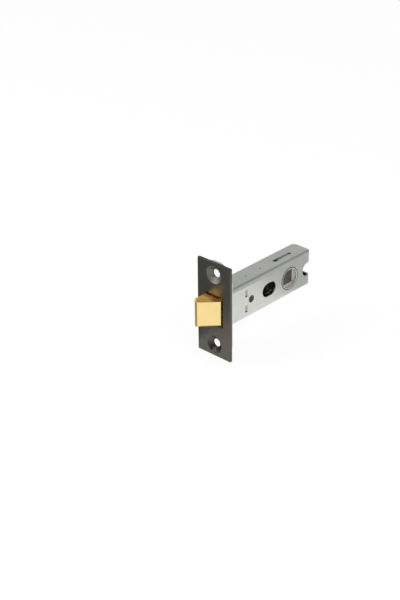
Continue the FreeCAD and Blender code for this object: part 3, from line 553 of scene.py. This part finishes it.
def card_face(name, tone):
    """Grey card."""
    # One plain tone for the metal to mirror.
    material, tree = new_material(name)
    grey = add(tree, "ShaderNodeEmission", values={"Color": WHITE, "Strength": tone})
    add(tree, "ShaderNodeOutputMaterial", {"Surface": grey.outputs[0]})
    return material


def stage_sheet(name, corners, material):
    """One flat sheet of the stage."""
    mesh = bpy.data.meshes.new(name)
    mesh.from_pydata(corners, [], [range(len(corners))])
    mesh.materials.append(material)
    made = bpy.data.objects.new(name, mesh)
    bpy.context.scene.collection.objects.link(made)
    return made


def lamp(name, power, size, spot, mirrored):
    """A square soft lamp that looks at the latch."""
    light = bpy.data.lights.new(name, "AREA")
    light.energy, light.size, light.shape = power, size, "SQUARE"
    holder = bpy.data.objects.new(name, light)
    holder.location = spot
    holder.rotation_euler = (AIM - spot).to_track_quat("-Z", "Y").to_euler()
    holder.visible_glossy = mirrored
    bpy.context.scene.collection.objects.link(holder)


def plain_room(studio):
    """A world that is white to the camera, an even light, and walls under a darker ceiling in the metal."""
    world = bpy.data.worlds.new("plain_room")
    world.use_nodes = True
    tree = world.node_tree
    tree.nodes.clear()
    rays, seen = seen_as_backdrop(tree)
    room = add(tree, "ShaderNodeBackground", values={"Color": WHITE, "Strength": studio.sky})
    white = add(tree, "ShaderNodeBackground", values={"Color": WHITE, "Strength": 1.0})
    where = add(tree, "ShaderNodeTexCoord")
    parts = add(tree, "ShaderNodeSeparateXYZ", {"Vector": where.outputs["Generated"]})
    tone = add(tree, "ShaderNodeMapRange", {"Value": parts.outputs["Z"]},
               {"From Min": WALLS_END, "From Max": CEILING_START, "To Min": studio.walls,
                "To Max": studio.ceiling})
    mirrored = add(tree, "ShaderNodeBackground", {"Strength": tone.outputs["Result"]}, {"Color": WHITE})
    shown = add(tree, "ShaderNodeMixShader", {"Fac": rays.outputs["Is Glossy Ray"], 1: white.outputs[0],
                                              2: mirrored.outputs[0]})
    mixed = add(tree, "ShaderNodeMixShader", {"Fac": seen, 1: room.outputs[0], 2: shown.outputs[0]})
    add(tree, "ShaderNodeOutputWorld", {"Surface": mixed.outputs[0]})
    return world


def photo_camera():
    """The camera at the photograph's viewing angle."""
    camera = bpy.data.cameras.new("photo_camera")
    camera.sensor_width = SENSOR
    camera.lens = PHOTO_FOCAL / PHOTO_HEIGHT * SENSOR
    camera.clip_start, camera.clip_end = NEAREST, FARTHEST
    holder = bpy.data.objects.new("photo_camera", camera)
    turn = Matrix((EYE_RIGHT, EYE_UP, EYE_RIGHT.cross(EYE_UP).normalized())).transposed()
    holder.matrix_world = Matrix.Translation(EYE) @ turn.to_4x4()
    bpy.context.scene.collection.objects.link(holder)
    return holder


# Pieces

class LATCH_OT_faceplate(bpy.types.Operator):
    """Finish the faceplate and the inner plate behind it"""
    bl_idname = "latch.faceplate"
    bl_label = "Faceplate"

    def execute(self, context):
        finishes, edges = context.scene.latch_finishes, context.scene.latch_edges
        plate = broken_edges("faceplate", "faceplate_sheet", edges.plate)
        place(plate, black_nickel_satin(finishes), "case", "faceplate")
        inner = broken_edges("forend_plate", "inner_plate_sheet", edges.sheet)
        zinc = zinc_plated_sheet(finishes, "zinc_plated_strip", "Z")
        place(inner, zinc, "case", "forend_plate")
        return {"FINISHED"}


class LATCH_OT_case(bpy.types.Operator):
    """Finish the folded case and its crimped cover"""
    bl_idname = "latch.case"
    bl_label = "Case"

    def execute(self, context):
        finishes, edges = context.scene.latch_finishes, context.scene.latch_edges
        zinc = zinc_plated_sheet(finishes, folded=True)
        for node, label in (("case_shell", "case_folded_sheet"), ("case_cover", "case_cover_sheet")):
            place(broken_edges(node, label, edges.sheet), zinc, "case", node)
        return {"FINISHED"}


class LATCH_OT_bolt(bpy.types.Operator):
    """Finish the brass bolt"""
    bl_idname = "latch.bolt"
    bl_label = "Bolt"

    def execute(self, context):
        finishes, edges = context.scene.latch_finishes, context.scene.latch_edges
        bolt = broken_edges("latch_bolt", "brass_bolt", edges.brass)
        place(bolt, satin_brass(finishes), "bolt", "latch_bolt")
        return {"FINISHED"}


class LATCH_OT_follower(bpy.types.Operator):
    """Finish the die-cast follower"""
    bl_idname = "latch.follower"
    bl_label = "Follower"

    def execute(self, context):
        finishes, edges = context.scene.latch_finishes, context.scene.latch_edges
        # its ends keep their small faces, because whole ones would fold over the square hole
        hub = broken_edges("follower", "follower_casting", edges.cast, whole_faces=False)
        place(hub, plated_die_casting(finishes), "hub", "follower")
        return {"FINISHED"}


class LATCH_OT_mechanism(bpy.types.Operator):
    """Finish the pull arms, the spring and what holds them"""
    bl_idname = "latch.mechanism"
    bl_label = "Mechanism"

    def execute(self, context):
        finishes, edges = context.scene.latch_finishes, context.scene.latch_edges
        strip = zinc_plated_sheet(finishes, "zinc_plated_arm")
        steel = drawn_steel("drawn_steel", finishes.drawn_steel, roughness=0.35)
        for node, ending, body, material, slot in (
                ("pull_arm_upper", "strip", "bolt", strip, "zinc_plate"),
                ("pull_arm_lower", "strip", "bolt", strip, "zinc_plate"),
                ("spring_abutment", "plate", "case", strip, "zinc_plate"),
                ("spring_guide_rod", "steel", "case", steel, "plain_steel"),
                ("cross_pin", "steel", "case", steel, "plain_steel")):
            place(broken_edges(node, f"{node}_{ending}", edges.sheet), material, body, node)
        # the spring is as short as the drawn bolt leaves it, because one rigid piece stands for it in every pose
        spring = coil("bolt_spring_coil", SPRING_RADIUS, WIRE, SPRING_FRONT, SPRING_REAR, SPRING_TURNS)
        wire = drawn_steel("bright_spring_wire", finishes.spring_steel, roughness=0.28)
        place(spring, wire, "case", "bolt_spring")
        return {"FINISHED"}


class LATCH_OT_stage(bpy.types.Operator):
    """Set the floor, the cards, the lamps, the room and the camera"""
    bl_idname = "latch.stage"
    bl_label = "Stage"

    def execute(self, context):
        scene, studio = context.scene, context.scene.latch_studio
        around = ((-1, -1), (1, -1), (1, 1), (-1, 1))
        stage_sheet("floor", [(x * FLOOR_HALF, y * FLOOR_HALF, PLATE_LOW.z) for x, y in around],
                    pale_floor(studio))
        for name, tone, (start, end, top), lean in (("left_card", studio.left_card, LEFT_CARD, LEFT_LEAN),
                                                    ("rear_card", studio.rear_card, REAR_CARD, REAR_LEAN)):
            rise = lean + Vector((0, 0, top - start.z))
            card = stage_sheet(name, [start, end, end + rise, start + rise], card_face(name, tone))
            card.visible_camera = card.visible_shadow = card.visible_diffuse = False
        lamp("key_lamp", studio.key, KEY_SIZE, KEY_PLACE, False)
        lamp("fill_lamp", studio.fill, FILL_SIZE, FILL_PLACE, True)
        scene.world = plain_room(studio)
        scene.camera = photo_camera()
        scene.view_settings.view_transform = "Standard"
        return {"FINISHED"}


class LATCH_PT_panel(bpy.types.Panel):
    """Sidebar panel with the latch's operators and settings"""
    bl_label = "Tubular Door Latch"
    bl_idname = "LATCH_PT_panel"
    bl_space_type = "VIEW_3D"
    bl_region_type = "UI"
    bl_category = "Latch"

    def draw(self, context):
        for operator in OPERATORS:
            self.layout.operator(operator.bl_idname)
        for group in (context.scene.latch_finishes, context.scene.latch_edges, context.scene.latch_studio):
            box = self.layout.box()
            for name in group.__annotations__:
                box.prop(group, name)


OPERATORS = (LATCH_OT_faceplate, LATCH_OT_case, LATCH_OT_bolt, LATCH_OT_follower, LATCH_OT_mechanism,
             LATCH_OT_stage)
CLASSES = (LatchFinishes, LatchEdges, LatchStudio, *OPERATORS, LATCH_PT_panel)


def register():
    for made in CLASSES:
        bpy.utils.register_class(made)
    bpy.types.Scene.latch_finishes = bpy.props.PointerProperty(type=LatchFinishes)
    bpy.types.Scene.latch_edges = bpy.props.PointerProperty(type=LatchEdges)
    bpy.types.Scene.latch_studio = bpy.props.PointerProperty(type=LatchStudio)


def unregister():
    del bpy.types.Scene.latch_finishes
    del bpy.types.Scene.latch_edges
    del bpy.types.Scene.latch_studio
    for made in reversed(CLASSES):
        bpy.utils.unregister_class(made)


def main():
    """Builds the whole latch in order."""
    register()
    bpy.ops.latch.faceplate()
    bpy.ops.latch.case()
    bpy.ops.latch.bolt()
    bpy.ops.latch.follower()
    bpy.ops.latch.mechanism()
    bpy.ops.latch.stage()


if __name__ == "__main__":
    main()
